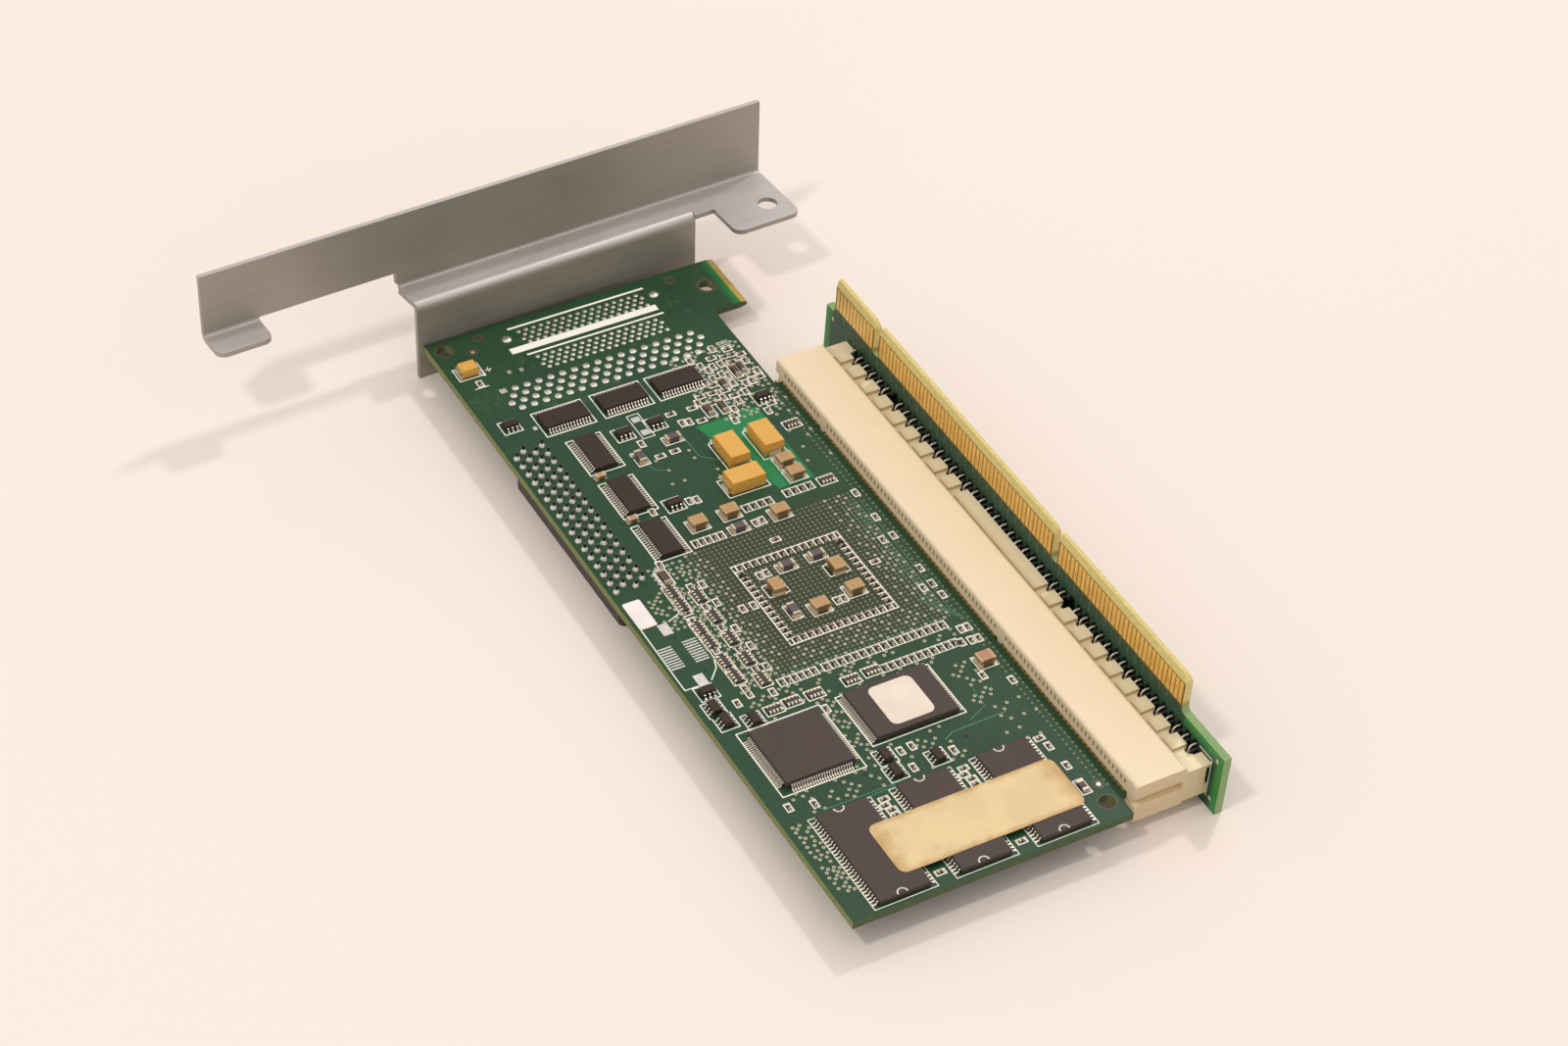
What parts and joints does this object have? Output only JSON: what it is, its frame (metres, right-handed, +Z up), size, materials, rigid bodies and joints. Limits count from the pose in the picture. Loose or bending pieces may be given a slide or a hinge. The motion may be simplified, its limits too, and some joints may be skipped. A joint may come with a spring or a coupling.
{
  "type": "server storage controller card with riser and bracket",
  "caption": "Storage controller card lying solder side up, plugged into the socket of a narrow gold edged riser board, with a folded steel bracket at its end.",
  "frame": {"origin": "middle of the base: the centre of the bounding box at the level of the table", "axes": "+X along the card away from the bracket, +Y across it towards the riser, +Z up"},
  "size_m": [0.1812, 0.124, 0.0337],
  "materials": {
    "board_green": "green solder mask over woven glass laminate",
    "contact_gold": "thin bright gold plate",
    "cream_plastic": "moulded, satin, cream",
    "tinned_metal": "bright tin and solder",
    "bracket_steel": "zinc plated sheet steel, satin grey",
    "black_plastic": "moulded, dark brown black",
    "chip_plastic": "moulded resin, fine matt",
    "small_ceramic": "fired ceramic with tinned ends",
    "resistor_black": "glazed black",
    "tantalum_yellow": "moulded resin, amber yellow",
    "ceramic_tan": "fired ceramic, tan",
    "coil_grey": "ferrite, grey",
    "yellowed_paper": "bare coated paper, yellowed, edges browned",
    "white_paper": "bare coated paper, white"
  },
  "bodies": {
    "root": {"main_board": "board_green", "riser_board": "board_green", "riser_fingers": "contact_gold", "slot_housing": "cream_plastic", "slot_contacts": "tinned_metal", "bracket": "bracket_steel", "internal_connector_housing": "black_plastic", "internal_connector_pins": "tinned_metal", "io_processor": "chip_plastic", "small_regulators": "chip_plastic", "bypass_capacitors": "small_ceramic", "resistor_networks": "resistor_black", "solder_domes": "tinned_metal", "transceiver_chips": "chip_plastic", "transceiver_leads": "tinned_metal", "memory_chips": "chip_plastic", "memory_leads": "tinned_metal", "flash_chip": "chip_plastic", "flash_leads": "tinned_metal", "bus_controller": "chip_plastic", "bus_controller_leads": "tinned_metal", "tantalum_capacitors": "tantalum_yellow", "tantalum_terminals": "tinned_metal", "ceramic_capacitors": "ceramic_tan", "ceramic_capacitor_ends": "tinned_metal", "filter_coils": "coil_grey", "filter_coil_ends": "tinned_metal", "part_label": "yellowed_paper", "flash_label": "white_paper", "side_label": "white_paper"}
  },
  "joints": []
}
